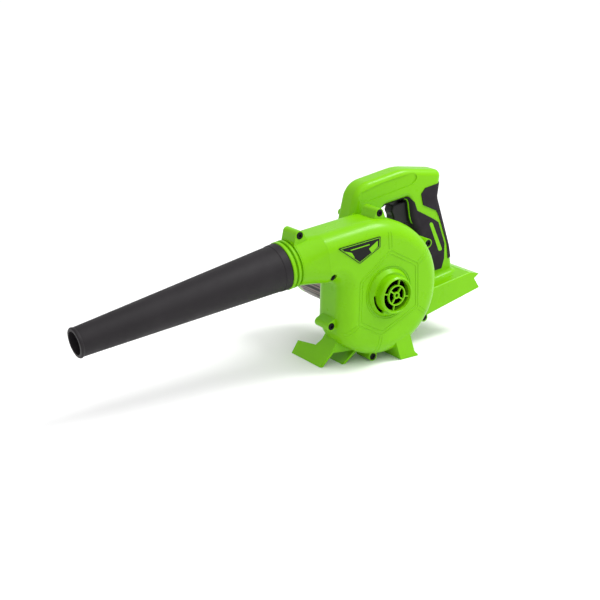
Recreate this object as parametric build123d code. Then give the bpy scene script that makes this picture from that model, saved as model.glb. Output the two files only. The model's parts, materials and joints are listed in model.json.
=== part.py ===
from build123d import *
import math
import os

# Cordless hand-held leaf blower standing on its moulded feet, nose down.
#
# Every piece is drawn in the tool's own frame: the fan and motor axis is the Y axis,
# the air inlet faces -Y, the nozzle points along -X and +Z is up.  At the end every piece
# is tilted nose down by TILT and lifted so that the feet stand on Z = 0.
# The feet themselves are drawn upright, in the standing frame.

# ---------------------------------------------------------------- driving dimensions (mm)
TILT = 9.0                 # nose-down angle of the nozzle axis when the tool stands
GROUND = -91.6             # floor below the fan axis, standing
WALL = 2.4                 # moulded shell thickness

SCROLL_R = 82.0            # outer radius of the fan housing
SCROLL_HALF = 32.0         # half thickness of the fan housing
SCROLL_EDGE = 20.0         # rounding of its rim
SCROLL_TURN = 44.0         # radius where the scroll turns up towards the duct
SCROLL_TOP = 104.0         # radius where the scroll opens out over the top
DUCT_CUT = -78.0           # where the scroll ends and the duct begins
DUCT_FLOOR = 34.0          # underside of the duct there
BADGE_FACE = 0.8           # how far the badge stands proud

NOZZLE_Z = 67.3            # nozzle axis above the fan axis
COLLAR_X = -111.0          # where the ribbed collar starts
COLLAR_R = 28.5
TUBE_X = -125.8            # big end of the nozzle tube
TIP_X = -387.0             # tip of the nozzle tube
TUBE_R = 28.1              # outer radius of the tube's big end
TIP_R = 16.6               # outer radius of the tube behind its lip
LIP_R = 17.4               # outer radius of the tube's rounded lip
TUBE_BORE = 24.8           # socket of the tube
TIP_BORE = 13.4            # outlet
TIP_BORE_LENGTH = 40.0
SPIGOT_R = 24.4            # spigot of the duct inside the tube's socket
SPIGOT_LENGTH = 34.0
SPIGOT_END = TUBE_X - SPIGOT_LENGTH

DISH_R = 34.0              # ring round the air inlet
INLET_R = 23.4             # outer radius of the inlet boss
INLET_BORE = 19.8
INLET_Y = -49.0            # face of the inlet boss
CONE_Y = -38.0             # where the boss stands on its cone
RING_Y = 26.0              # inner face of the back wall's thick ring

DRUM_R = 41.0              # motor drum
DRUM_FRONT = 32.0
DRUM_END = 112.0           # end of the drum's wall
COVER_END = 120.0          # outer face of the motor end cover
WALL_HOLE = 13.0           # hole for the motor's nose in the drum's front wall

GRIP_Y = 38.5              # mid plane of the handle, beside the fan housing
GRIP_HALF = 15.5           # half width of the handle
NECK_END = 68.0            # rear end of the bridge between motor drum and battery base
GRIP_EDGE = 8.0            # rounding of the handle's edges
FOOT_FLARE = 6.0           # flare of the grip into the battery base
# outline of the shallow panel in each side of the top bar: x, z and corner radius
HANDLE_RECESS = [(9.0, 102.0, 4), (13.0, 110.0, 5), (46.0, 113.8, 30), (97.0, 113.2, 8),
                 (104.0, 105.0, 5), (92.0, 98.2, 6), (27.0, 96.8, 8)]
RECESS_DEPTH = 0.9
PAD = 1.0                  # how far the soft grip pads stand proud
BASE_HALF = 38.5           # half width of the battery base
BAY_X = 84.0               # front wall of the battery bay
BAY_TOP = -42.0
BAY_WALL = 4.0
RAIL_LOW = -57.0
RAIL_HIGH = -53.0
RAIL_WIDTH = 5.0

MOTOR_R = 21.0
MOTOR_FRONT = 42.0
MOTOR_REAR = 96.0
SHAFT_R = 2.5
SHAFT_SEAT = 2.51          # bore of the pieces pressed on the shaft
BEARING_R = 5.0
RUNNING = 0.05             # radial clearance of a running fit
IMPELLER_R = 58.0
BLADES = 12

TRIGGER_LOW = 49.0
TRIGGER_HIGH = 77.0
TRIGGER_HALF = 8.0
TRIGGER_REAR = 92.5
GAP = 0.4                  # gap between faces that slide past each other

LEAD_R = 1.2
LEAD_X = 112.0             # where the battery leads run up the grip

SCREW_HEAD = 3.4
SCREW_SHANK = 1.45
SCREW_HOLE = 1.6
SCREW_SEAT = -12.0         # where the housing screws' heads sit
HOUSING_HEAD = 4.3         # radius of the housing screws' heads
BOSS_R = 5.6               # posts round the housing screws
BOSS_FRONT = -14.6
BOSS_BACK = 12.0
HIDDEN_SEAT = -23.0        # where the screw below the duct sits
SCREW_PLACES = [(-102.7, 101.4), (11.8, 93.8), (79.8, 33.3), (62.0, -61.0), (-22.3, -83.5),
                (-76.5, -23.0)]
HIDDEN_SCREW = (-73.5, 43.0)
HANDLE_SCREWS = [(2.0, 84.0), (64.0, 111.5), (122.0, 99.0), (133.0, -22.0)]
FLANGE_SCREWS = [(28.0, 35.0), (28.0, 155.0), (28.0, 275.0)]     # radius, angle
COVER_SCREWS = [(35.4, 60.0), (35.4, 180.0), (35.4, 300.0)]      # radius, angle
MOTOR_SCREWS = [(14.5, 0.0), (14.5, 180.0)]                      # radius, angle


# ---------------------------------------------------------------- helpers
def polar(radius, degrees, centre=(0.0, 0.0)):
    """Point at an angle from +X towards +Z."""
    angle = math.radians(degrees)
    return (centre[0] + radius * math.cos(angle), centre[1] + radius * math.sin(angle))


def upright(face, y_low, y_high):
    """A sketch drawn in X and Z, extruded from y_low to y_high."""
    return Pos(0, y_high, 0) * Rot(90, 0, 0) * extrude(face, y_high - y_low)


def drum(radius, y_low, y_high, x=0.0, z=0.0):
    """Cylinder along Y."""
    return Pos(x, (y_low + y_high) / 2, z) * Rot(90, 0, 0) * Cylinder(radius, y_high - y_low)


def ring(outer, inner, y_low, y_high, x=0.0, z=0.0):
    """Tube along Y."""
    return drum(outer, y_low, y_high, x, z) - drum(inner, y_low - 1, y_high + 1, x, z)


def turned(points, along="y"):
    """Solid of revolution from (position, radius) points, about the fan or the nozzle axis."""
    if along == "y":
        profile = make_face(Polyline([(radius, place) for place, radius in points], close=True))
        return revolve(profile, Axis.Y)
    profile = make_face(Polyline([(place, radius) for place, radius in points], close=True))
    return Pos(0, 0, NOZZLE_Z) * revolve(profile, Axis.X)


def block(x_low, x_high, y_low, y_high, z_low, z_high):
    size = (x_high - x_low, y_high - y_low, z_high - z_low)
    middle = ((x_high + x_low) / 2, (y_high + y_low) / 2, (z_high + z_low) / 2)
    return Pos(*middle) * Box(*size)


def outline(points):
    return make_face(Polyline(points, close=True))


def rounded(corners):
    """Closed outline from (x, z, corner radius) entries."""
    face = outline([(x, z) for x, z, radius in corners])
    for x, z, radius in corners:
        if radius > 0:
            corner = face.vertices().sort_by_distance((x, z, 0))[0]
            face = fillet(corner, radius)
    return face


def sector(middle, half, reach, y_low, y_high):
    """Wedge from the fan axis, for cutting arcs out of rings."""
    points = [(0, 0)] + [polar(reach, middle + half * k / 2) for k in (-2, -1, 0, 1, 2)]
    return upright(outline(points), y_low, y_high)


def near(solid):
    """The part of a solid on the inlet side of the housing seam."""
    return solid & block(-400, 400, -200, 0, -300, 300)


def far(solid):
    """The part of a solid on the motor side of the housing seam."""
    return solid & block(-400, 400, 0, 200, -300, 300)


def standing(solid):
    """From the tool's frame to the standing frame with the fan axis at the origin."""
    return Rot(0, -TILT, 0) * solid


def lying(solid):
    """From the standing frame back to the tool's frame."""
    return Rot(0, TILT, 0) * solid


def wire_run(points, bends, radius):
    """Round cable along straight runs joined by arcs."""
    path = FilletPolyline(points, radius=bends)
    start = Plane(origin=path @ 0, z_dir=path % 0)
    return sweep(start * Circle(radius), path=path)


# ---------------------------------------------------------------- fan housing
def scroll_outline(inset):
    """Outline of the scroll: round, wider over the top, with the root of the duct."""
    radius = SCROLL_R - inset
    turn = SCROLL_TURN - inset
    top = SCROLL_TOP - inset
    start, crest_angle, corner, lean = 35.0, 87.5, -135.0, 10.5
    turn_centre = polar(SCROLL_R - SCROLL_TURN, corner)
    top_centre = polar(SCROLL_R - SCROLL_TOP, start)
    crest = polar(top, crest_angle, top_centre)
    roof = crest[1] + (crest[0] - DUCT_CUT) * math.tan(math.radians(90 - crest_angle))
    side = polar(turn, 180 - lean, turn_centre)
    floor = DUCT_FLOOR + inset
    inner_x = side[0] + (floor - side[1]) * math.tan(math.radians(lean))
    edges = [
        ThreePointArc(polar(radius, corner), polar(radius, -50), polar(radius, start)),
        ThreePointArc(polar(radius, start), polar(top, 61, top_centre), crest),
        Line(crest, (DUCT_CUT, roof)),
        Line((DUCT_CUT, roof), (DUCT_CUT, floor)),
        Line((DUCT_CUT, floor), (inner_x, floor)),
        Line((inner_x, floor), side),
        ThreePointArc(side, polar(turn, 202, turn_centre), polar(radius, corner)),
    ]
    face = make_face(edges)
    armpit = face.vertices().sort_by_distance((inner_x, floor, 0))[0]
    return fillet(armpit, 10.0 + inset)


def scroll(inset):
    half = SCROLL_HALF - inset
    body = upright(scroll_outline(inset), -half, half)
    rims = [e for e in body.edges()
            if abs(abs(e.center().Y) - half) < 0.01 and e.center().X > DUCT_CUT + 0.01]
    return fillet(rims, SCROLL_EDGE - inset)


def duct(inset):
    """Round at the collar, growing into the scroll."""
    stations = [
        (COLLAR_X, 57.0, 57.0, 28.3, NOZZLE_Z),
        (-95.0, 60.0, 58.2, 25.0, 65.9),
        (DUCT_CUT + 0.4, 63.96, 60.04, 19.98, 64.04),
    ]
    sections = []
    for x, width, height, corner, z in stations:
        plane = Plane(origin=(x, 0, z), x_dir=(0, 1, 0), z_dir=(1, 0, 0))
        sections.append(plane * RectangleRounded(width - 2 * inset, height - 2 * inset, corner - inset))
    return loft(sections)


def collar():
    """Two ribs and the spigot that the nozzle tube slides over."""
    groove = 26.2
    rib = 28.9
    return turned([
        (COLLAR_X + 1, 0), (COLLAR_X + 1, COLLAR_R - 0.2), (COLLAR_X - 1.5, COLLAR_R - 0.2),
        (COLLAR_X - 1.5, groove), (COLLAR_X - 4.2, groove), (COLLAR_X - 4.2, rib - 0.6),
        (COLLAR_X - 4.8, rib), (COLLAR_X - 7.0, rib), (COLLAR_X - 7.6, rib - 0.6),
        (COLLAR_X - 7.6, groove), (COLLAR_X - 10.2, groove), (COLLAR_X - 10.2, rib - 0.6),
        (COLLAR_X - 10.8, rib), (TUBE_X + 1.2, rib), (TUBE_X + GAP, rib - 0.6),
        (TUBE_X + GAP, SPIGOT_R), (SPIGOT_END + 2, SPIGOT_R),
        (SPIGOT_END, SPIGOT_R - 1.2), (SPIGOT_END, 0),
    ], along="x")


def screw_boss(x, z):
    """Post for a housing screw, with a root that spreads into the housing."""
    post = drum(BOSS_R, BOSS_FRONT, BOSS_BACK, x, z)
    angle = 90.0 if x < COLLAR_X + 15 else math.degrees(math.atan2(z, x))
    spread = BOSS_R + (4.5 if z > SCROLL_R else 0.0)
    root = upright(outline([(-BOSS_R, 1), (BOSS_R, 1), (spread, -11), (-spread, -11)]),
                   BOSS_FRONT, BOSS_BACK)
    return post + Pos(x, 0, z) * Rot(0, 90 - angle, 0) * root


def leaning_plate(foot_x, lean, points, thickness):
    """Plate whose bottom edge stands on the floor along Y and whose top leans back."""
    slope = math.hypot(lean, 1.0)
    plane = Plane(origin=(foot_x, 0, GROUND), x_dir=(0, 1, 0),
                  z_dir=Vector(1, 0, -lean).normalized())
    flat = outline([(y, height * slope) for y, height in points])
    return extrude(plane * flat, thickness)


def feet():
    """Front and rear feet, moulded with the housing (standing frame)."""
    front = leaning_plate(-76.0, 0.65, [(3.1, -2), (64.7, -2), (64.7, 15), (30, 19), (24, 27),
                                        (22.9, 38), (-1, 38), (-3.5, 18.2)], 3.0)
    second = leaning_plate(-47.4, 1.3, [(-3.6, -2), (44, -2), (30, 22), (-3.6, 24)], 3.0)
    web = upright(outline([(-64, -73.6), (-23, -77), (-23, -70), (-50, -55), (-56, -60)]), -3.6, 0)
    rear_side = upright(outline([(13, -66), (34, -56), (43.5, -85), (49, -90), (49, -94),
                                 (23, -94)]), -31, -28)
    rear_front = upright(outline([(13, -66), (16, -64), (26, -94), (23, -94)]), -28, 58)
    rear_back = upright(outline([(31, -62), (34, -56), (43.5, -85), (49, -90), (49, -94),
                                 (44, -94), (40.5, -86)]), -28, 58)
    rear_root = upright(outline([(13, -66), (8, -55), (38, -45), (34, -56), (31, -62),
                                 (16, -65)]), -20, 31)
    whole = front + second + web + rear_side + rear_front + rear_back + rear_root
    return whole & block(-200, 200, -200, 200, GROUND, 60)


def inlet_side(body):
    """Ring, cone, boss and slots of the air inlet on the near face."""
    y = -SCROLL_HALF
    body = body + drum(DISH_R + 2, y, y + WALL + 1)
    for radius in (DISH_R - 0.6, DISH_R - 3.0):
        body = body + turned([(y + 1, radius - 0.9), (y - 0.7, radius - 0.6),
                              (y - 0.7, radius + 0.6), (y + 1, radius + 0.9)])
    body = body + turned([(y + 1, 0), (y + 1, 30.5), (y, 30.0), (CONE_Y, INLET_R + 2.6),
                          (CONE_Y, INLET_R), (INLET_Y + 4, INLET_R - 0.2),
                          (INLET_Y + 2, INLET_R - 0.7), (INLET_Y + 0.7, INLET_R - 1.7),
                          (INLET_Y, INLET_R - 2.3), (INLET_Y, 0)])
    body = body - turned([(INLET_Y - 1, 0), (INLET_Y - 1, INLET_BORE + 1.2),
                          (INLET_Y + 0.8, INLET_BORE), (CONE_Y - 1, INLET_BORE),
                          (y - 1, INLET_R + 3.0), (y + 6, INLET_R + 3.0), (y + 6, 0)])
    slot = ring(INLET_R + 3.2, INLET_R, CONE_Y - 1, y + 8)
    return body - (slot & sector(200.0, 31, 60, CONE_Y - 2, y + 9))


def motor_side(body):
    """Thickened ring, the hole for the motor's nose and the screw holes of the back wall."""
    body = body + ring(18.5, WALL_HOLE - 3, RING_Y, SCROLL_HALF)
    body = body - drum(WALL_HOLE - 3, RING_Y - 1, SCROLL_HALF + 1)
    for radius, angle in FLANGE_SCREWS + MOTOR_SCREWS:
        x, z = polar(radius, angle)
        body = body - drum(SCREW_HOLE, RING_Y - 1, SCROLL_HALF + 1, x, z)
    return body


def housing_halves():
    inside = scroll(WALL) + duct(WALL)
    bore = turned([(COLLAR_X + 2, 0), (COLLAR_X + 2, 26.1), (COLLAR_X - 2, 24.0),
                   (COLLAR_X - 14, 22.0), (SPIGOT_END - 1, 22.0), (SPIGOT_END - 1, 0)], along="x")
    outside = scroll(0) + duct(0) + collar() + lying(feet())
    for x, z in SCREW_PLACES:
        outside = outside + screw_boss(x, z)
    shell = outside - inside - bore
    for x, z in SCREW_PLACES:
        shell = shell - drum(SCREW_HOLE, SCREW_SEAT - 1, 10.5, x, z)
        shell = shell - drum(HOUSING_HEAD + 0.2, SCREW_SEAT - 4, SCREW_SEAT, x, z)
    x, z = HIDDEN_SCREW
    shell = shell + (drum(6.0, -30, 30, x, z) & scroll(0.5))
    shell = shell - drum(HOUSING_HEAD + 0.2, -40, HIDDEN_SEAT, x, z)
    shell = shell - drum(SCREW_HOLE, HIDDEN_SEAT - 1, 10.5, x, z)
    return inlet_side(near(shell)), motor_side(far(shell))


def housing_screws():
    screws = []
    for x, z in SCREW_PLACES + [HIDDEN_SCREW]:
        seat = HIDDEN_SEAT if (x, z) == HIDDEN_SCREW else SCREW_SEAT
        head = turned([(seat, 0), (seat, HOUSING_HEAD), (seat - 2.4, HOUSING_HEAD - 0.1),
                       (seat - 3.1, HOUSING_HEAD - 0.7), (seat - 3.4, HOUSING_HEAD - 1.7),
                       (seat - 3.4, 1.7), (seat - 1.6, 1.7), (seat - 1.6, 0)])
        head = Pos(x, 0, z) * head
        screws.append(head + drum(SCREW_SHANK, seat, 10.0, x, z))
    return Compound(screws)


def inlet_guard():
    """Spoked finger guard inside the inlet boss."""
    y_low, y_high = INLET_Y + 1.6, INLET_Y + 4.2
    guard = ring(INLET_BORE - 0.02, INLET_BORE - 0.9, y_low + 1.0, y_high)
    guard = guard + ring(12.8, 11.2, y_low, y_high) + ring(4.2, 2.4, y_low, y_high)
    inner = block(3.3, 12.0, y_low + 0.2, y_high - 0.2, -0.8, 0.8)
    outer = block(12.0, INLET_BORE - 0.5, y_low + 0.6, y_high - 0.2, -0.8, 0.8)
    for k in range(4):
        guard = guard + Rot(0, 45 + 90 * k, 0) * inner + Rot(0, 22 + 90 * k, 0) * outer
    return guard


def badge_plate():
    face = rounded([(-65, 77.2, 0.8), (-3.6, 73.2, 1.0), (-5.6, 60.2, 1.2), (-37.4, 49.6, 2.0)])
    plate = upright(face, -SCROLL_HALF - BADGE_FACE, -SCROLL_HALF)
    return plate - scroll(0)


# ---------------------------------------------------------------- nozzle
def nozzle_tube():
    step_x = TUBE_X - 9
    tip_start = TIP_X + 4
    socket_end = SPIGOT_END - 2
    outside = [(TUBE_X, TUBE_R - 0.6), (TUBE_X - 0.8, TUBE_R), (step_x, TUBE_R - 0.3),
               (step_x - 0.5, TUBE_R - 0.8), (tip_start, TIP_R), (TIP_X + 3, LIP_R - 0.2),
               (TIP_X + 1.4, LIP_R), (TIP_X + 0.3, LIP_R - 0.7), (TIP_X, LIP_R - 1.8)]
    inside = [(TIP_X, TIP_BORE), (TIP_X + TIP_BORE_LENGTH, TIP_BORE), (socket_end, 21.6),
              (socket_end + 1.0, TUBE_BORE), (TUBE_X, TUBE_BORE)]
    return turned(outside + inside, along="x")


# ---------------------------------------------------------------- handle shells
def handle_loop(grow=0.0):
    """Side view of the handle: front leg, top bar and grip, as one outline."""
    g = grow
    return rounded([
        (-25.1 - g, 31, 0), (11.5 - g, 119.6 + g, 27 + g), (84, 120.6 + g, 70),
        (143.5 + g, 103 + g * 0.5, 9 + g), (133.2 + g, 70, 16 - g), (145.5 + g, 0, 90),
        (147 + g, -40, 0), (107 - g, -40, 0), (104 - g, 0, 60), (86 - g, 52, 14),
        (85.4 - g, 83 - g, 5 + g), (46, 83 - g, 12 - g), (20, 31, 0),
    ])


def handle_bar(grow=0.0):
    """The handle as a solid with rounded edges, grown for the pads."""
    half = GRIP_HALF + grow
    body = upright(handle_loop(grow), GRIP_Y - half, GRIP_Y + half)
    rims = [e for e in body.edges() if abs(abs(e.center().Y - GRIP_Y) - half) < 0.01
            and -39.9 < e.center().Z and not (e.center().Z < 32 and e.center().X < 30)]
    return fillet(rims, GRIP_EDGE + grow)


def base_side():
    """Side view of the battery base, with the notched rear edge."""
    return outline([(62, -36), (154.5, -34.6), (169, -41), (160.5, -45), (167.5, -60), (62, -69)])


def battery_base():
    """The base as a solid, with the long edges of its top rounded."""
    base = upright(base_side(), GRIP_Y - BASE_HALF, GRIP_Y + BASE_HALF)
    rims = [e for e in base.edges() if abs(abs(e.center().Y - GRIP_Y) - BASE_HALF) < 0.01
            and e.center().Z > -36 and e.length > 50]
    return fillet(rims, 2.5)


def battery_bay():
    """Space that the battery's top slides into, open to the rear and below."""
    low = GRIP_Y - BASE_HALF + BAY_WALL
    high = GRIP_Y + BASE_HALF - BAY_WALL
    bay = block(BAY_X, 180, low, high, -80, BAY_TOP)
    for y_low, y_high in ((low, low + RAIL_WIDTH), (high - RAIL_WIDTH, high)):
        bay = bay - block(BAY_X - 1, 181, y_low, y_high, RAIL_LOW, RAIL_HIGH)
    return bay


def fillet_foot(body):
    """Flare where the grip runs out into the top of the battery base."""
    seam = [e for e in body.edges() if 100 < e.center().X < 150 and -37 < e.center().Z < -33
            and abs(e.center().Y - GRIP_Y) < GRIP_HALF + 1 and e.bounding_box().size.Z < 3]
    return fillet(seam, FOOT_FLARE)


def handle_recesses():
    """Shallow panels sunk into both sides of the top bar."""
    face = rounded(HANDLE_RECESS)
    side = GRIP_Y + GRIP_HALF - RECESS_DEPTH
    return upright(face, side, side + 9) + upright(face, 2 * GRIP_Y - side - 9, 2 * GRIP_Y - side)


def neck(inset):
    """Short bridge between the motor drum and the battery base."""
    return block(20, NECK_END - inset, GRIP_Y - 6 + inset, GRIP_Y + BASE_HALF - inset,
                 -58 + inset, -20 - inset)


def shell_inside():
    handle = upright(offset(handle_loop(), -WALL), GRIP_Y - GRIP_HALF + WALL,
                     GRIP_Y + GRIP_HALF - WALL)
    core = drum(DRUM_R - WALL, DRUM_FRONT + WALL, DRUM_END + 1)
    front_room = block(64, BAY_X - 3, GRIP_Y - BASE_HALF + BAY_WALL, GRIP_Y + BASE_HALF - BAY_WALL,
                       -63, -40)
    channel = block(86, 116, GRIP_Y - 7, GRIP_Y + 7, BAY_TOP - 1, -37)
    return handle + core + neck(WALL) + front_room + channel


def motor_ribs():
    """Two ribs that hold the motor can in the drum, open at the top for its leads."""
    ribs = ring(DRUM_R - 1, MOTOR_R + 0.05, 58, 61) + ring(DRUM_R - 1, MOTOR_R + 0.05, 84, 87)
    return ribs - block(-4, 16, 50, 90, 18, 36)


def drum_vents():
    """Cooling slots through the drum's wall."""
    slots = []
    for angle in (20, 34, 48, 132, 146, 160):
        slot = block(DRUM_R - 5, DRUM_R + 3, 92, 107, -1.4, 1.4)
        slots.append(Rot(0, -angle, 0) * slot)
    return slots


def shell_posts():
    """Screw posts inside the handle, in the drum's front wall and under its end cover."""
    posts = []
    for x, z in HANDLE_SCREWS:
        posts.append(drum(4.2, GRIP_Y - GRIP_HALF + 1, GRIP_Y + GRIP_HALF - 1, x, z))
    for radius, angle in FLANGE_SCREWS:
        x, z = polar(radius, angle)
        posts.append(drum(4.0, DRUM_FRONT + 1, GRIP_Y, x, z))
    for radius, angle in COVER_SCREWS:
        x, z = polar(radius, angle)
        posts.append(drum(3.8, DRUM_END - 18, DRUM_END - 5.1, x, z) & drum(DRUM_R - 1, 80, 120))
    return posts


def shell_holes():
    """Screw holes and counterbores of the handle shells."""
    holes = []
    outer = GRIP_Y + GRIP_HALF
    for x, z in HANDLE_SCREWS:
        holes.append(drum(SCREW_HOLE, outer - 26, outer - 3, x, z))
        holes.append(drum(SCREW_HEAD + 0.2, outer - 4, outer + 9, x, z))
    for radius, angle in FLANGE_SCREWS:
        x, z = polar(radius, angle)
        holes.append(drum(SCREW_HOLE, DRUM_FRONT - 1, DRUM_FRONT + 7, x, z))
    for radius, angle in MOTOR_SCREWS:
        x, z = polar(radius, angle)
        holes.append(drum(SCREW_HOLE, DRUM_FRONT - 1, DRUM_FRONT + 7, x, z))
    for radius, angle in COVER_SCREWS:
        x, z = polar(radius, angle)
        holes.append(drum(SCREW_HOLE, DRUM_END - 17, DRUM_END - 4, x, z))
    return holes


def handle_shells():
    outside = fillet_foot(handle_bar() + battery_base())
    outside = outside - handle_recesses() + drum(DRUM_R, DRUM_FRONT, DRUM_END) + neck(0)
    solid = outside - shell_inside() - battery_bay()
    solid = solid + motor_ribs()
    for post in shell_posts():
        solid = solid + post
    solid = solid - (scroll(-0.05) + duct(-0.05))
    for x, z in SCREW_PLACES:
        for share in (1.0, 0.95):   # room for the post and for its root
            solid = solid - drum(BOSS_R + 0.5, -20, 12.5, share * x, share * z)
    solid = solid - drum(WALL_HOLE, 30, 40)
    solid = solid - trigger_window()
    for slot in drum_vents() + shell_holes():
        solid = solid - slot
    left = solid & block(-400, 400, -200, GRIP_Y, -300, 300)
    right = solid & block(-400, 400, GRIP_Y, 300, -300, 300)
    return left, right


def handle_screws():
    outer = GRIP_Y + GRIP_HALF
    screws = []
    for x, z in HANDLE_SCREWS:
        head = drum(SCREW_HEAD, outer - 4, outer - 1.4, x, z)
        head = head - drum(1.3, outer - 2.8, outer - 1, x, z)
        screws.append(head + drum(SCREW_SHANK, outer - 25, outer - 4, x, z))
    return Compound(screws)


def pan_screws(places, seat, tip, head_high=2.4, facing=-1):
    """Pan-head screws along Y at (radius, angle) places; the head stands on the seat."""
    screws = []
    for radius, angle in places:
        x, z = polar(radius, angle)
        top = seat + facing * head_high
        head = drum(2.8, min(seat, top), max(seat, top), x, z)
        slot = seat + facing * head_high
        head = head - drum(1.0, min(slot, slot - facing), max(slot, slot - facing), x, z)
        screws.append(head + drum(SCREW_SHANK, min(seat, tip), max(seat, tip), x, z))
    return Compound(screws)


def motor_end_cover():
    cover = turned([(DRUM_END, 0), (DRUM_END, DRUM_R), (COVER_END - 3, DRUM_R),
                    (COVER_END, DRUM_R - 3), (COVER_END, 0)])
    cover = cover - drum(DRUM_R - WALL - 1.5, DRUM_END - 1, COVER_END - WALL)
    cover = cover + ring(DRUM_R - WALL - 0.1, DRUM_R - WALL - 2, DRUM_END - 5, DRUM_END + 1)
    for k in range(-3, 4):
        reach = math.sqrt(26.0 ** 2 - (7 * k) ** 2)
        cover = cover - block(-reach, reach, COVER_END - 6, COVER_END + 1, 7 * k - 1.4, 7 * k + 1.4)
    for radius, angle in COVER_SCREWS:
        x, z = polar(radius, angle)
        cover = cover + (drum(4.2, DRUM_END - 5, COVER_END - 2, x, z) & drum(DRUM_R - WALL - 0.1, 90, 120))
        cover = cover - drum(SCREW_HOLE, DRUM_END - 6, COVER_END + 1, x, z)
        cover = cover - drum(3.0, COVER_END - 3, COVER_END + 1, x, z)
    return cover


# ---------------------------------------------------------------- soft grip pads
def pad_skin():
    """Layer of constant thickness over the handle."""
    return handle_bar(PAD) - handle_bar(0.0)


# outlines of the pads, and of the bar let into the front pad, in side view
FRONT_PAD = [(47, 85.6), (86, 84.4), (93.5, 75), (96.4, 63.1), (120.4, 44.8), (127.9, 37.9),
             (134.6, 7), (131.7, -12.9), (126, -24.9), (100, -23), (80, -20), (60, 50), (47, 79)]
REAR_PAD = [(160, 88.3), (112.3, 88.2), (105.1, 82.4), (106.6, 67.3), (126.4, 53.9),
            (130.3, 44), (138.6, 5.7), (138.2, -15), (160, -15.5)]
INSET = [(112.4, 43.0, 2.0), (118.4, 40.2, 2.0), (130.2, -1.0, 2.0), (124.0, -0.5, 2.0)]


def motor_label():
    """Blank rating label bent round the lower front of the motor drum."""
    skin = ring(DRUM_R + 0.35, DRUM_R, 47, 106)
    return skin & sector(207.0, 42.0, 60, 46, 107)


def pad_region(points):
    return upright(outline(points), GRIP_Y - 30, GRIP_Y + 30)


def trigger_window():
    return block(60, 104, GRIP_Y - TRIGGER_HALF - GAP, GRIP_Y + TRIGGER_HALF + GAP,
                 TRIGGER_LOW - GAP, TRIGGER_HIGH + GAP)


def inset_slots(grow):
    """Long narrow windows in the front pad, one on each side of the grip."""
    face = offset(rounded(INSET), grow) if grow else rounded(INSET)
    return upright(face, GRIP_Y - 30, GRIP_Y + 30)


def grip_pads():
    skin = pad_skin()
    front = (skin & pad_region(FRONT_PAD)) - trigger_window() - inset_slots(0.0)
    rear = skin & pad_region(REAR_PAD)
    insets = skin & inset_slots(-0.1)
    return front, rear, insets


# ---------------------------------------------------------------- fan
def impeller():
    """Backplate, hub and backward-swept blades."""
    back_y, front_y = 16.0, -18.0
    wheel = drum(IMPELLER_R, back_y, back_y + 2.4)
    hub = turned([(-2, 0), (-2, 7.0), (4, 8.0), (back_y - 4, 11), (back_y + 0.5, 22),
                  (back_y + 0.5, 0)])
    wheel = wheel + hub + drum(8.0, back_y, 22.0)
    inner, outer, sweep_angle, thickness = 24.0, IMPELLER_R - 0.5, 38.0, 1.8
    for k in range(BLADES):
        turn = 360.0 * k / BLADES
        start = polar(inner, turn)
        end = polar(outer, turn - sweep_angle)
        middle = polar((inner + outer) / 2 + 3, turn - sweep_angle * 0.34)
        line = ThreePointArc(start, middle, end)
        blade = make_face(offset(line, thickness / 2, kind=Kind.ARC, side=Side.BOTH, closed=True))
        body = upright(blade, front_y, back_y + 0.2)
        wheel = wheel + (body & drum(IMPELLER_R, front_y, back_y + 0.2))
    slope = turned([(front_y - 1, 0), (front_y - 1, 70), (front_y + 9, 70), (front_y, 40),
                    (front_y, 0)])
    return wheel - slope - drum(SHAFT_SEAT, -10, 30)


def impeller_nut():
    nut = upright(RegularPolygon(4.6, 6), -6.0, -2.0)
    return nut - drum(SHAFT_SEAT, -8, 0)


# ---------------------------------------------------------------- motor
def motor_can():
    can = turned([(MOTOR_FRONT - 2.4, 0), (MOTOR_FRONT - 2.4, 7.5), (MOTOR_FRONT, 7.5),
                  (MOTOR_FRONT, MOTOR_R - 1), (MOTOR_FRONT + 1, MOTOR_R), (MOTOR_REAR, MOTOR_R),
                  (MOTOR_REAR, 0)])
    can = can - drum(MOTOR_R - 1.5, MOTOR_FRONT + 2, MOTOR_REAR + 1)
    can = can - drum(BEARING_R, MOTOR_FRONT - 3, MOTOR_FRONT + 3)
    for angle in (45, 135, 225, 315):
        x, z = polar(14.0, angle)
        can = can - drum(2.5, MOTOR_FRONT - 1, MOTOR_FRONT + 3, x, z)
    for radius, angle in MOTOR_SCREWS:
        x, z = polar(radius, angle)
        can = can - drum(SCREW_SHANK + 0.05, MOTOR_FRONT - 1, MOTOR_FRONT + 3, x, z)
    return can


def motor_magnets():
    magnets = []
    sleeve = ring(MOTOR_R - 1.55, 16.4, 50, 88)
    for middle in (90, 270):
        magnets.append(sleeve & sector(middle, 62, 40, 49, 89))
    return Compound([solid for magnet in magnets for solid in magnet.solids()])


def bearing(y_low):
    """Ball bearing drawn as a closed ring with grooved faces."""
    y_high = y_low + 4.0
    body = ring(BEARING_R - 0.01, SHAFT_R + RUNNING, y_low, y_high)
    for y in (y_low, y_high):
        body = body - ring(4.3, 3.4, y - 0.4, y + 0.4)
    return body


def armature():
    stack = ring(15.4, SHAFT_SEAT, 54, 84)
    for k in range(5):
        slot = block(8.0, 16.5, 53, 85, -1.2, 1.2)
        stack = stack - Rot(0, 72 * k, 0) * slot
    return stack


def windings():
    """Copper heads of the windings at both ends of the stack."""
    heads = []
    for y_low, y_high in ((48.0, 53.9), (84.1, 88.5)):
        head = ring(13.2, SHAFT_SEAT + 0.6, y_low, y_high)
        for k in range(5):
            head = head - Rot(0, 72 * k, 0) * block(9.0, 16.5, y_low - 1, y_high + 1, -1.4, 1.4)
        heads.append(head)
    return Compound([solid for head in heads for solid in head.solids()])


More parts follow.
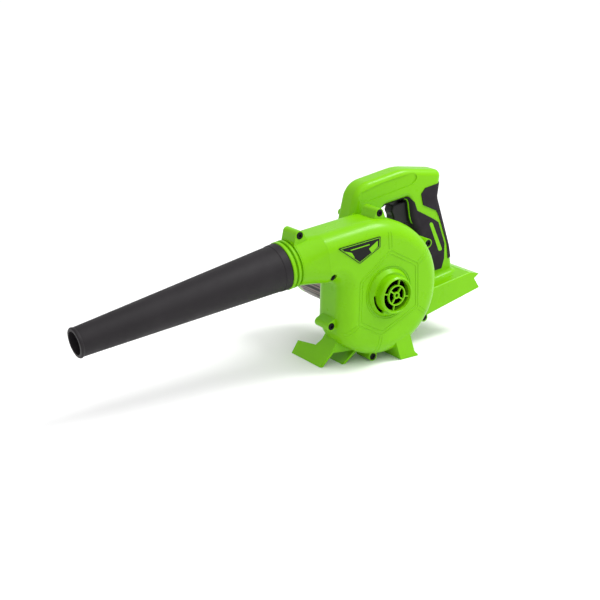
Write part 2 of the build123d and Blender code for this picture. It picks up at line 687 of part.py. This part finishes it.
def motor_shaft():
    front, rear, chamfer = -8.0, 106.5, 0.5
    return turned([(front, 0), (front, SHAFT_R - chamfer), (front + chamfer, SHAFT_R),
                   (rear - chamfer, SHAFT_R), (rear, SHAFT_R - chamfer), (rear, 0)])


def commutator():
    drum_body = ring(5.4, SHAFT_SEAT, 89.4, 97.0)
    for k in range(10):
        drum_body = drum_body - Rot(0, 36 * k, 0) * block(4.8, 6.0, 90.4, 98, -0.25, 0.25)
    return drum_body


def motor_end_bell():
    bell = turned([(MOTOR_REAR, 0), (MOTOR_REAR, MOTOR_R), (MOTOR_REAR + 5, MOTOR_R),
                   (MOTOR_REAR + 6, MOTOR_R - 1), (MOTOR_REAR + 6, 8), (MOTOR_REAR + 9.6, 8),
                   (MOTOR_REAR + 9.6, 0)])
    bell = bell - drum(MOTOR_R - 2, MOTOR_REAR - 1, MOTOR_REAR + 3)
    bell = bell - drum(BEARING_R, MOTOR_REAR + 2, MOTOR_REAR + 12)
    for angle in (45, 135, 225, 315):
        x, z = polar(14.0, angle)
        bell = bell - drum(2.6, MOTOR_REAR + 2, MOTOR_REAR + 8, x, z)
    return bell


def brush_gear():
    """Brass brush holders and the carbon brushes inside them, on both sides."""
    holders, brushes = [], []
    for side in (0, 180):
        holder = block(8.2, 18.4, 90.2, 95.8, -2.6, 2.6) - block(7, 17.4, 91, 95, -1.8, 1.8)
        brush = block(5.75, 14.0, 91.05, 94.95, -1.75, 1.75)
        holders.append(Rot(0, side, 0) * holder)
        brushes.append(Rot(0, side, 0) * brush)
    return Compound(holders), Compound(brushes)


def motor_gasket():
    """Rubber ring between the motor's face and the drum's front wall."""
    gasket = ring(19.5, 8.2, DRUM_FRONT + WALL, MOTOR_FRONT - 0.05)
    for radius, angle in MOTOR_SCREWS:
        x, z = polar(radius, angle)
        gasket = gasket - drum(SCREW_HOLE, DRUM_FRONT, MOTOR_FRONT, x, z)
    return gasket


# ---------------------------------------------------------------- controls
def switch_module():
    body = block(100.2, 124, GRIP_Y - 9, GRIP_Y + 9, 46, 79)
    body = body - block(100, 101.4, GRIP_Y - 5, GRIP_Y + 5, 56, 70)
    return fillet(body.edges().filter_by(Axis.X), 1.5)


def trigger():
    face = rounded([(66, TRIGGER_HIGH, 3), (62.5, 70, 4), (65.5, 61, 10), (61.5, 52, 4),
                    (64, TRIGGER_LOW, 2), (TRIGGER_REAR, TRIGGER_LOW, 0),
                    (TRIGGER_REAR, TRIGGER_HIGH, 0)])
    body = upright(face, GRIP_Y - TRIGGER_HALF, GRIP_Y + TRIGGER_HALF)
    front = [e for e in body.edges() if e.center().X < 66
             and abs(abs(e.center().Y - GRIP_Y) - TRIGGER_HALF) < 0.01]
    body = fillet(front, 2.0)
    return body - block(TRIGGER_REAR - 5, TRIGGER_REAR + 1, GRIP_Y - 4, GRIP_Y + 4, 58, 68)


def trigger_spring():
    """Return spring between trigger and switch, as one round wire coil."""
    x_low, x_high, radius, wire = TRIGGER_REAR - 4.8, 101.2, 3.0, 0.45
    path = Helix(pitch=2.0, height=x_high - x_low - 2 * wire, radius=radius)
    start = Plane(origin=path @ 0, z_dir=path % 0)
    coil = sweep(start * Circle(wire), path=path, is_frenet=True)
    return Pos(x_low + wire, GRIP_Y, 63) * Rot(0, 90, 0) * coil


def terminal_block():
    body = block(BAY_X + 0.05, 96, GRIP_Y - 15, GRIP_Y + 15, -56, BAY_TOP - 0.05)
    body = body + block(94, 118, GRIP_Y - 10, GRIP_Y + 10, BAY_TOP - 2.4, BAY_TOP - 0.05)
    for k in (-1, 0, 1):
        y = GRIP_Y + 10 * k
        body = body - block(90, 97, y - 2.6, y + 2.6, -54, -46)
    return body


def battery_contacts():
    blades = []
    for k in (-1, 0, 1):
        y = GRIP_Y + 10 * k
        blades.append(block(90, 106, y - 0.4, y + 0.4, -53, -47))
    return Compound(blades)


def control_board():
    board = block(68, 80, GRIP_Y - 28, GRIP_Y + 28, -54, -52.4)
    board = board + block(70, 78, GRIP_Y - 20, GRIP_Y - 8, -52.4, -46)
    board = board + drum(3.5, GRIP_Y + 6, GRIP_Y + 18, 74, -49.3)
    return board


def battery_leads():
    """Two leads up the grip from the terminal block to the switch."""
    low, high = BAY_TOP, 45.95
    leads = []
    for y in (GRIP_Y - 4, GRIP_Y + 4):
        leads.append(Pos(LEAD_X, y, (low + high) / 2) * Cylinder(LEAD_R, high - low))
    return Compound(leads)


def motor_leads():
    """Two leads from the switch along the top bar and down the front leg to the motor."""
    leads = []
    for k in (0, 1):
        y = GRIP_Y - 1.5 + 6.5 * k
        x_start, z_top, x_top, x_end = 108 + 6 * k, 97 + 6.5 * k, 27 - 3 * k, 5 + 6 * k
        points = [(x_start, y, 79.05), (x_start, y, z_top), (x_top, y, z_top), (x_end, y, 50),
                  (x_end, y, 30), (x_end, 99, 30), (x_end, 99, 21.4)]
        leads.append(wire_run(points, [8, 12, 14, 6, 5], LEAD_R))
    return Compound(leads)


def build_all():
    housing_left, housing_right = housing_halves()
    shell_left, shell_right = handle_shells()
    front_pad, rear_pad, insets = grip_pads()
    holders, brushes = brush_gear()
    return {
        "fan_housing_left": housing_left,
        "fan_housing_right": housing_right,
        "housing_screws": housing_screws(),
        "inlet_guard": inlet_guard(),
        "badge_plate": badge_plate(),
        "nozzle_tube": nozzle_tube(),
        "handle_shell_left": shell_left,
        "handle_shell_right": shell_right,
        "motor_end_cover": motor_end_cover(),
        "front_grip_pad": front_pad,
        "rear_grip_pad": rear_pad,
        "grip_insets": insets,
        "impeller": impeller(),
        "impeller_nut": impeller_nut(),
        "motor_can": motor_can(),
        "motor_magnets": motor_magnets(),
        "front_bearing": bearing(MOTOR_FRONT - 2.0),
        "rear_bearing": bearing(MOTOR_REAR + 4.0),
        "armature_core": armature(),
        "armature_windings": windings(),
        "motor_shaft": motor_shaft(),
        "commutator": commutator(),
        "motor_end_bell": motor_end_bell(),
        "brush_holders": holders,
        "carbon_brushes": brushes,
        "motor_gasket": motor_gasket(),
        "switch_module": switch_module(),
        "trigger": trigger(),
        "trigger_spring": trigger_spring(),
        "terminal_block": terminal_block(),
        "battery_contacts": battery_contacts(),
        "control_board": control_board(),
        "battery_leads": battery_leads(),
        "motor_leads": motor_leads(),
        "motor_label": motor_label(),
        "handle_screws": handle_screws(),
        "flange_screws": pan_screws(FLANGE_SCREWS, SCROLL_HALF - WALL, DRUM_FRONT + 6.8),
        "motor_screws": pan_screws(MOTOR_SCREWS, RING_Y, MOTOR_FRONT + 3),
        "cover_screws": pan_screws(COVER_SCREWS, COVER_END - 3, DRUM_END - 16, facing=1),
    }


def main():
    os.makedirs("parts", exist_ok=True)
    pieces = {name: standing(piece) for name, piece in build_all().items()}
    boxes = [piece.bounding_box() for piece in pieces.values()]
    centre_x = (min(box.min.X for box in boxes) + max(box.max.X for box in boxes)) / 2
    centre_y = (min(box.min.Y for box in boxes) + max(box.max.Y for box in boxes)) / 2
    print("fan axis at", round(-centre_x, 3), round(-centre_y, 3), -GROUND)
    for name, piece in pieces.items():
        whole = Pos(-centre_x, -centre_y, -GROUND) * piece
        export_step(whole, "parts/" + name + ".step")
        print(name, round(whole.volume, 1), len(whole.solids()))


main()
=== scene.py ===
"""Looks of the leaf blower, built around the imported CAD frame."""
import json
import math

import bmesh
import bpy
from mathutils import Matrix, Vector
from mathutils.bvhtree import BVHTree


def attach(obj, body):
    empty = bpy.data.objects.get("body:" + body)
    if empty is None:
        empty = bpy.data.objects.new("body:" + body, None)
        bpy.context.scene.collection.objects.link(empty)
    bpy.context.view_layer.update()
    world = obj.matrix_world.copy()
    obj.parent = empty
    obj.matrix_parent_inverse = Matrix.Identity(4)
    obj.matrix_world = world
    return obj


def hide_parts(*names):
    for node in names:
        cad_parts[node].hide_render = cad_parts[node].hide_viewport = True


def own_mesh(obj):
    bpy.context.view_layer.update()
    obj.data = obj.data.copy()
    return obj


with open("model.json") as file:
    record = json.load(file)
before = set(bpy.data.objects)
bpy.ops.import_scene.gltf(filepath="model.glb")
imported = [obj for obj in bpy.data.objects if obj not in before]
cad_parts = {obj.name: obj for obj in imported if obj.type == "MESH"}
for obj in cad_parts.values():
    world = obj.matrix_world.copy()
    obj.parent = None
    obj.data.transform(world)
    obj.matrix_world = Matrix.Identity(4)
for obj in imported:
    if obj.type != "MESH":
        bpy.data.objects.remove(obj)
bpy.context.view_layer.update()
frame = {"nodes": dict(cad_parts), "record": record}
NODES = frame["nodes"]

MM = 0.001
TILT = math.radians(9.0)                        # nose-down angle of the standing tool
FAN_AXIS = Vector((0.11019, -0.0355, 0.0916))   # the fan axis, where part.py's own frame starts
LABEL_R = 41.35                                 # outer radius of the rating label, mm
INNER_SHARE = 0.915                             # inner line of the housing's pattern to its outer
SPOKE_HALF = 2.2                                # from a spoke's middle to each of its lines, mm
SPOKE_START = 0.8                               # gap between the pattern's ring and a spoke, mm

CAMERA_TURN = math.radians(34.11)               # from the tool's near side, about the vertical
CAMERA_RISE = math.radians(18.19)               # above the horizontal
CAMERA_REACH = 1.5                              # from the fan axis, metres
CAMERA_LEFT = 0.0887                            # framing shifts, metres
CAMERA_DOWN = 0.0176
LENS = 73.8                                     # for a sensor 36 mm wide

SKY = 0.74                                      # strength of the even white surround
FLOOR_ALBEDO = 0.93
FLOOR_DROP = 0.0003                             # keeps the floor clear of the feet, metres


def tool(x, y, z):
    """A point of part.py's frame, in mm, as a point of the row frame."""
    return FAN_AXIS + MM * Vector((x * math.cos(TILT) - z * math.sin(TILT), y,
                                   x * math.sin(TILT) + z * math.cos(TILT)))


# ------------------------------------------------------------------ camera, light and floor
def make_camera():
    """Three-quarter view of the inlet side and the nozzle's end, from a little above."""
    level = math.cos(CAMERA_RISE)
    back = Vector((-math.sin(CAMERA_TURN) * level, -math.cos(CAMERA_TURN) * level,
                   math.sin(CAMERA_RISE)))
    right = Vector((math.cos(CAMERA_TURN), -math.sin(CAMERA_TURN), 0.0))
    up = back.cross(right)
    data = bpy.data.cameras.new("camera")
    data.sensor_width = 36.0
    data.lens = LENS
    data.clip_start, data.clip_end = 0.05, 20.0
    camera = bpy.data.objects.new("camera", data)
    camera.location = FAN_AXIS + CAMERA_REACH * back - CAMERA_LEFT * right - CAMERA_DOWN * up
    camera.rotation_mode = "QUATERNION"
    camera.rotation_quaternion = Matrix((right, up, back)).transposed().to_quaternion()
    bpy.context.scene.collection.objects.link(camera)
    bpy.context.scene.camera = camera


def area_light(name, place, target, size, watts):
    """Round soft light that makes the highlights on the shell."""
    data = bpy.data.lights.new(name, "AREA")
    data.shape = "DISK"
    data.size = size
    data.energy = watts
    lamp = bpy.data.objects.new(name, data)
    lamp.location = place
    lamp.rotation_mode = "QUATERNION"
    lamp.rotation_quaternion = (Vector(target) - Vector(place)).to_track_quat("-Z", "Y")
    bpy.context.scene.collection.objects.link(lamp)


def sun_light(name, direction, strength, spread):
    """Light that is equally strong all over the floor, from a wide source."""
    data = bpy.data.lights.new(name, "SUN")
    data.energy = strength
    data.angle = math.radians(spread)
    lamp = bpy.data.objects.new(name, data)
    lamp.rotation_mode = "QUATERNION"
    lamp.rotation_quaternion = Vector(direction).to_track_quat("-Z", "Y")
    bpy.context.scene.collection.objects.link(lamp)


def make_studio():
    """White surround, three soft lights and a pale floor."""
    world = bpy.data.worlds.new("studio")
    world.use_nodes = True
    sky = world.node_tree.nodes["Background"]
    sky.inputs["Color"].default_value = (1.0, 1.0, 1.0, 1.0)
    sky.inputs["Strength"].default_value = SKY
    bpy.context.scene.world = world
    bpy.context.scene.view_settings.view_transform = "Standard"
    middle = (0.05, 0.0, 0.09)
    sun_light("key", (-0.30, 0.62, -1.0), 1.15, 80.0)
    sun_light("fill", (0.55, 0.55, -1.0), 0.45, 100.0)
    area_light("gloss", (0.72, -0.33, 1.12), middle, 0.45, 10.0)
    bpy.ops.mesh.primitive_plane_add(size=12.0, location=(0.0, 0.0, -FLOOR_DROP))
    floor = bpy.context.object
    floor.name = "floor"
    paper = bpy.data.materials.new("floor_paper")
    paper.use_nodes = True
    shader = paper.node_tree.nodes["Principled BSDF"]
    shader.inputs["Base Color"].default_value = (FLOOR_ALBEDO, FLOOR_ALBEDO, FLOOR_ALBEDO, 1.0)
    shader.inputs["Roughness"].default_value = 0.85
    floor.data.materials.append(paper)


# ------------------------------------------------------------------ materials
class Maker:
    """A material's node tree, with short ways to add and link nodes."""

    def __init__(self, name):
        self.material = bpy.data.materials.new(name)
        self.material.use_nodes = True
        self.tree = self.material.node_tree
        self.shader = self.tree.nodes["Principled BSDF"]
        self.place = self.node("ShaderNodeTexCoord").outputs["Object"]

    def node(self, kind, **settings):
        made = self.tree.nodes.new(kind)
        for key, value in settings.items():
            setattr(made, key, value)
        return made

    def link(self, source, target):
        self.tree.links.new(source, target)

    def set(self, **values):
        for key, value in values.items():
            self.shader.inputs[key.replace("_", " ")].default_value = value

    def noise(self, scale, detail=3.0, roughness=0.55, stretch=None):
        made = self.node("ShaderNodeTexNoise")
        made.inputs["Scale"].default_value = scale
        made.inputs["Detail"].default_value = detail
        made.inputs["Roughness"].default_value = roughness
        place = self.place
        if stretch:
            mapping = self.node("ShaderNodeMapping")
            mapping.inputs["Scale"].default_value = stretch
            self.link(place, mapping.inputs["Vector"])
            place = mapping.outputs["Vector"]
        self.link(place, made.inputs["Vector"])
        return made.outputs["Fac"]

    def spread(self, source, low, high, start=0.3, end=0.7):
        """Maps source from start..end to low..high."""
        made = self.node("ShaderNodeMapRange")
        for key, value in (("From Min", start), ("From Max", end),
                           ("To Min", low), ("To Max", high)):
            made.inputs[key].default_value = value
        self.link(source, made.inputs["Value"])
        return made.outputs["Result"]

    def mix(self, factor, first, second):
        made = self.node("ShaderNodeMix", data_type="RGBA")
        self.link(factor, made.inputs["Factor"])
        for socket, value in ((made.inputs[6], first), (made.inputs[7], second)):
            if isinstance(value, tuple):
                socket.default_value = (*value, 1.0)
            else:
                self.link(value, socket)
        return made.outputs[2]

    def bump(self, source, height, onto=None):
        made = self.node("ShaderNodeBump")
        made.inputs["Strength"].default_value = 1.0
        made.inputs["Distance"].default_value = height
        self.link(source, made.inputs["Height"])
        if onto:
            self.link(onto, made.inputs["Normal"])
        return made.outputs["Normal"]


def moulded(name, colour, roughness, grain, grain_height, shift=0.06, coat=0.0, gloss=0.2):
    """Moulded plastic or rubber: a fine grain and faint flow marks."""
    m = Maker(name)
    deep = tuple(c * (1 - shift) for c in colour)
    pale = tuple(min(1.0, c * (1 + shift)) for c in colour)
    m.link(m.mix(m.spread(m.noise(24.0), 0.0, 1.0), deep, pale), m.shader.inputs["Base Color"])
    m.link(m.spread(m.noise(65.0, 5.0), roughness * 0.85, roughness * 1.2),
           m.shader.inputs["Roughness"])
    fine = m.bump(m.noise(grain, 2.0), grain_height)
    m.link(m.bump(m.noise(38.0, 2.0), 0.00006, fine), m.shader.inputs["Normal"])
    m.set(Specular_IOR_Level=gloss)
    if coat:
        m.set(Coat_Weight=coat, Coat_Roughness=0.12)
    return m.material


def metal(name, colour, roughness, grain=(1.0, 1.0, 1.0), tarnish=0.15, scratch=0.00002):
    """Metal with brushed or cast roughness and a little tarnish."""
    m = Maker(name)
    dull = tuple(c * (1 - tarnish) for c in colour)
    stain = m.spread(m.noise(55.0, 5.0), 0.0, 1.0)
    m.link(m.mix(stain, dull, colour), m.shader.inputs["Base Color"])
    lines = m.noise(700.0, 2.0, stretch=grain)
    m.link(m.spread(lines, roughness * 0.7, roughness * 1.4), m.shader.inputs["Roughness"])
    m.link(m.bump(lines, scratch), m.shader.inputs["Normal"])
    m.set(Metallic=1.0)
    return m.material


def wound(name, colour):
    """Enamelled copper wire laid side by side."""
    m = Maker(name)
    wave = m.node("ShaderNodeTexWave", bands_direction="X")
    wave.inputs["Scale"].default_value = 330.0
    wave.inputs["Distortion"].default_value = 0.6
    m.link(m.place, wave.inputs["Vector"])
    # Painted shade: the copper is mixed down to 0.45 of its colour in the grooves between turns,
    # where the bump is lowest.
    dark = tuple(c * 0.45 for c in colour)
    m.link(m.mix(wave.outputs["Fac"], dark, colour), m.shader.inputs["Base Color"])
    m.link(m.bump(wave.outputs["Fac"], 0.0002), m.shader.inputs["Normal"])
    m.link(m.spread(m.noise(80.0), 0.25, 0.42), m.shader.inputs["Roughness"])
    m.set(Metallic=0.9)
    return m.material


def circuit():
    """Green solder mask with paler tracks."""
    m = Maker("solder_mask")
    cells = m.node("ShaderNodeTexVoronoi", feature="DISTANCE_TO_EDGE")
    cells.inputs["Scale"].default_value = 220.0
    m.link(m.place, cells.inputs["Vector"])
    tracks = m.spread(cells.outputs["Distance"], 1.0, 0.0, 0.02, 0.06)
    m.link(m.mix(tracks, (0.01, 0.10, 0.035), (0.03, 0.22, 0.07)), m.shader.inputs["Base Color"])
    m.link(m.bump(tracks, 0.00005), m.shader.inputs["Normal"])
    m.link(m.spread(m.noise(60.0), 0.25, 0.4), m.shader.inputs["Roughness"])
    return m.material


# moulded: name, colour, roughness, grain scale and height, colour shift, coat, gloss
LIME = (0.160, 0.455, 0.0006)
MATERIALS = {
    "green_shell": moulded("lime_plastic", LIME, 0.30, 1500.0, 0.000012, 0.03, 0.05, 0.13),
    "black_tube": moulded("tube_plastic", (0.014, 0.012, 0.014), 0.50, 1900.0, 0.00003, 0.10),
    "soft_grip": moulded("soft_rubber", (0.013, 0.010, 0.014), 0.72, 1300.0, 0.00008, 0.10),
    "black_plastic": moulded("black_plastic", (0.012, 0.012, 0.013), 0.42, 1500.0, 0.00003, 0.10),
    "black_screw": moulded("blackened_steel", (0.006, 0.006, 0.007), 0.42, 2100.0, 0.00002,
                           0.15, 0.0, 0.10),
    "badge": moulded("badge_film", (0.004, 0.005, 0.004), 0.35, 900.0, 0.000006, 0.10, 0.0, 0.15),
    "label": moulded("label_film", (0.19, 0.135, 0.125), 0.38, 800.0, 0.000008, 0.07, 0.2),
    "steel": metal("bright_steel", (0.62, 0.62, 0.64), 0.22),
    "zinc_steel": metal("zinc_plate", (0.56, 0.57, 0.58), 0.34, (1.0, 0.05, 1.0)),
    "magnet": moulded("ferrite", (0.05, 0.05, 0.055), 0.62, 1200.0, 0.00005, 0.15),
    "lamination": metal("varnished_laminations", (0.20, 0.20, 0.22), 0.45, (0.02, 1.0, 0.02), 0.3),
    "copper": wound("copper_wire", (0.78, 0.33, 0.14)),
    "brass": metal("pressed_brass", (0.74, 0.55, 0.22), 0.28),
    "carbon": moulded("graphite", (0.03, 0.03, 0.03), 0.55, 1600.0, 0.00004, 0.2),
    "rubber": moulded("black_rubber", (0.015, 0.015, 0.015), 0.78, 1000.0, 0.00006),
    "circuit_board": circuit(),
    "red_wire": moulded("red_sleeving", (0.42, 0.02, 0.015), 0.40, 900.0, 0.00003),
}
SLOT_OF = {row["node"]: row["material_slot"] for row in frame["record"]["subparts"]}


def dress(obj, slot):
    """Gives an object the finish of one of the record's material slots."""
    obj.data.materials.clear()
    obj.data.materials.append(MATERIALS[slot])


# ------------------------------------------------------------------ raised lines and panels
class Skin:
    """The outside of some CAD nodes, seen along Y from one side of the tool."""

    def __init__(self, side, *names):
        self.side = side
        points, faces = [], []
        for name in names:
            mesh = NODES[name].data
            start = len(points)
            points += [v.co.copy() for v in mesh.vertices]
            faces += [[start + i for i in p.vertices] for p in mesh.polygons]
        self.tree = BVHTree.FromPolygons(points, faces)

    def at(self, x, z, height=0.0):
        """The point of the skin at x, z of part.py's frame, lifted by height in mm."""
        start = tool(x, self.side * 200.0, z)
        hit = self.tree.ray_cast(start, Vector((0.0, -self.side, 0.0)))[0]
        return None if hit is None else hit + Vector((0.0, self.side * height * MM, 0.0))


def upright_point(x, z):
    """A point given in mm with Z vertical in the standing tool, in part.py's frame."""
    return (x * math.cos(TILT) + z * math.sin(TILT), -x * math.sin(TILT) + z * math.cos(TILT))


def sampled(corners, step=1.5, closed=False, soften=3):
    """Points along a polyline, with its corners softened."""
    line = [Vector(c) for c in corners]
    if closed:
        line.append(line[0])
    dense = []
    for first, second in zip(line, line[1:]):
        count = max(1, round((second - first).length / step))
        dense += [first.lerp(second, i / count) for i in range(count)]
    if not closed:
        dense.append(line[-1])
    for _ in range(soften):
        inner = range(len(dense)) if closed else range(1, len(dense) - 1)
        dense = [(dense[i - 1] + 2 * dense[i] + dense[(i + 1) % len(dense)]) / 4
                 if i in inner else dense[i] for i in range(len(dense))]
    return dense


def finished(name, bm, slot, body="housing", smooth=True):
    """Turns a bmesh into a piece that rides on a body and takes a slot's finish."""
    bmesh.ops.recalc_face_normals(bm, faces=bm.faces)
    mesh = bpy.data.meshes.new(name)
    bm.to_mesh(mesh)
    bm.free()
    if smooth:
        mesh.polygons.foreach_set("use_smooth", [True] * len(mesh.polygons))
    piece = bpy.data.objects.new(name, mesh)
    bpy.context.scene.collection.objects.link(piece)
    dress(piece, slot)
    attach(piece, body)
    return piece


def bridge(bm, first, second):
    """Quads between two closed rings of the same number of points."""
    count = len(first)
    for k in range(count):
        n = (k + 1) % count
        bm.faces.new((first[k], first[n], second[n], second[k]))


def add_rib(bm, skin, line, profile, closed=False):
    """A bar that follows a line over the skin. The profile is in (across, height), mm."""
    rings = []
    count = len(line)
    for i, point in enumerate(line):
        before = line[i - 1] if closed or i else line[0]
        after = line[(i + 1) % count] if closed or i < count - 1 else line[-1]
        along = (after - before).normalized()
        across = Vector((-along.y, along.x))
        ends = not closed and i in (0, count - 1)
        ring = []
        for offset, height in profile:
            x, z = point + offset * across
            spot = skin.at(x, z, min(height, -0.1) if ends else height)
            if spot is None:
                ring = None
                break
            ring.append(bm.verts.new(spot))
        if ring:
            rings.append(ring)
    pairs = list(zip(rings, rings[1:]))
    if closed:
        pairs.append((rings[-1], rings[0]))
    for first, second in pairs:
        bridge(bm, first, second)
    if not closed:
        bm.faces.new(rings[0])
        bm.faces.new(list(reversed(rings[-1])))


def bar_profile(width, height, sunk=0.3, bevel=0.25):
    """Section of a bar with bevelled top edges, whose foot is sunk into the skin."""
    half = width / 2
    return [(-half, -sunk), (-half, height - bevel), (-half + bevel, height), (half - bevel, height),
            (half, height - bevel), (half, -sunk)]


def add_plate(bm, skin, corners, height, bevel=0.15, sunk=0.2):
    """A thin raised panel with a bevelled edge; its outline is convex."""
    line = sampled(corners, 1.2, closed=True, soften=1)
    middle = sum(line, Vector((0.0, 0.0))) / len(line)
    rings = []
    for inset, lift in ((0.0, -sunk), (0.0, height - bevel), (bevel, height)):
        ring = []
        for point in line:
            inward = (middle - point).normalized()
            x, z = point + inset * inward
            ring.append(bm.verts.new(skin.at(x, z, lift)))
        rings.append(ring)
    for first, second in zip(rings, rings[1:]):
        bridge(bm, first, second)
    bm.faces.new(rings[-1])
    bm.faces.new(list(reversed(rings[0])))


def shell_pattern():
    """Double lines of a six-sided pattern moulded into the fan housing's near face."""
    skin = Skin(-1, "fan_housing_left")
    corners = [(1.5, 53.0), (44.0, 30.0), (46.0, -27.0), (-10.0, -53.0), (-44.0, -34.0),
               (-43.0, 20.0)]
    inner = [(x * INNER_SHARE, z * INNER_SHARE) for x, z in corners]
    profile = bar_profile(1.0, 0.45)
    bm = bmesh.new()
    for shape in (corners, inner):
        add_rib(bm, skin, sampled([upright_point(*c) for c in shape], 1.5, True), profile, True)
    spokes = [(1.5, 53.0, 0.0, 76.0), (44.0, 30.0, 63.0, 43.0), (46.0, -27.0, 62.0, -38.0),
              (-10.0, -53.0, -14.5, -76.0), (-44.0, -34.0, -61.0, -47.0)]
    for x0, z0, x1, z1 in spokes:
        run = Vector((x1 - x0, z1 - z0)).normalized()
        side = Vector((-run.y, run.x)) * SPOKE_HALF
        for way in (-1, 1):
            start = Vector((x0, z0)) + way * side + run * SPOKE_START
            end = Vector((x1, z1)) + way * side
            line = [upright_point(*start), upright_point(*end)]
            add_rib(bm, skin, sampled(line, 1.5), profile)
    finished("housing_pattern", bm, "green_shell")


def badge_panels():
    """Plain lime fields and a thin border on the blank badge."""
    skin = Skin(-1, "badge_plate")
    bm = bmesh.new()
    border = [(-61.8, 75.7), (-5.1, 72.0), (-6.9, 61.3), (-37.4, 51.2)]
    add_rib(bm, skin, sampled(border, 0.8, True, 1), bar_profile(0.7, 0.18, 0.1, 0.06), True)
    for field in ([(-57.0, 71.6), (-47.0, 66.6), (-43.6, 59.4), (-44.4, 59.2)],
                  [(-22.5, 63.6), (-8.2, 69.6), (-9.6, 61.8), (-19.0, 57.6)],
                  [(-49.0, 70.6), (-20.0, 69.0), (-20.4, 67.8), (-47.8, 69.4)]):
        add_plate(bm, skin, field, 0.18, 0.06, 0.1)
    finished("badge_fields", bm, "green_shell", smooth=False)


def trigger_arc():
    """Bright edge of the shell that curves round behind the trigger, on both sides."""
    arc = [(80.8, 82.6), (84.6, 80.4), (85.9, 77.0), (86.0, 68.0), (86.2, 58.0), (86.6, 52.5),
           (88.4, 47.5)]
    bm = bmesh.new()
    for side in (-1, 1):
        skin = Skin(side, "front_grip_pad", "handle_shell_left", "handle_shell_right")
        add_rib(bm, skin, sampled(arc, 1.0), bar_profile(0.9, 0.35, 0.4))
    finished("trigger_edge", bm, "green_shell")


def return_spring():
    """The trigger's return spring, a fixed steel copy of the CAD coil; the real one shortens from 12
    mm to 5 mm as the trigger is pulled.
    """
    coil = bpy.data.objects.new("return_spring", NODES["trigger_spring"].data.copy())
    bpy.context.scene.collection.objects.link(coil)
    dress(coil, "steel")
    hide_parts("trigger_spring")
    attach(coil, "housing")
    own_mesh(coil)


def label_bands():
    """Plain dark bands along the blank rating label on the motor drum."""
    outer = LABEL_R + 0.12
    inner = LABEL_R - 0.2
    near, far = 52.0, 101.0
    section = ((inner, near), (outer, near), (outer, far), (inner, far))
    bands = ((184.0, 1.0), (192.0, 3.4), (200.0, 0.8), (207.0, 2.8), (214.5, 1.0), (226.0, 3.0),
             (235.0, 0.8))                      # middle angle and half width, degrees
    bm = bmesh.new()
    for middle, half in bands:
        rows = []
        for k in range(9):
            angle = math.radians(middle - half + half * k / 4)
            rows.append([bm.verts.new(tool(radius * math.cos(angle), y, radius * math.sin(angle)))
                         for radius, y in section])
        for first, second in zip(rows, rows[1:]):
            bridge(bm, first, second)
        bm.faces.new(rows[0])
        bm.faces.new(list(reversed(rows[-1])))
    finished("label_bands", bm, "badge", smooth=False)


make_camera()
make_studio()
for node_name, node in NODES.items():
    dress(node, SLOT_OF[node_name])

shell_pattern()
badge_panels()
trigger_arc()
label_bands()
return_spring()
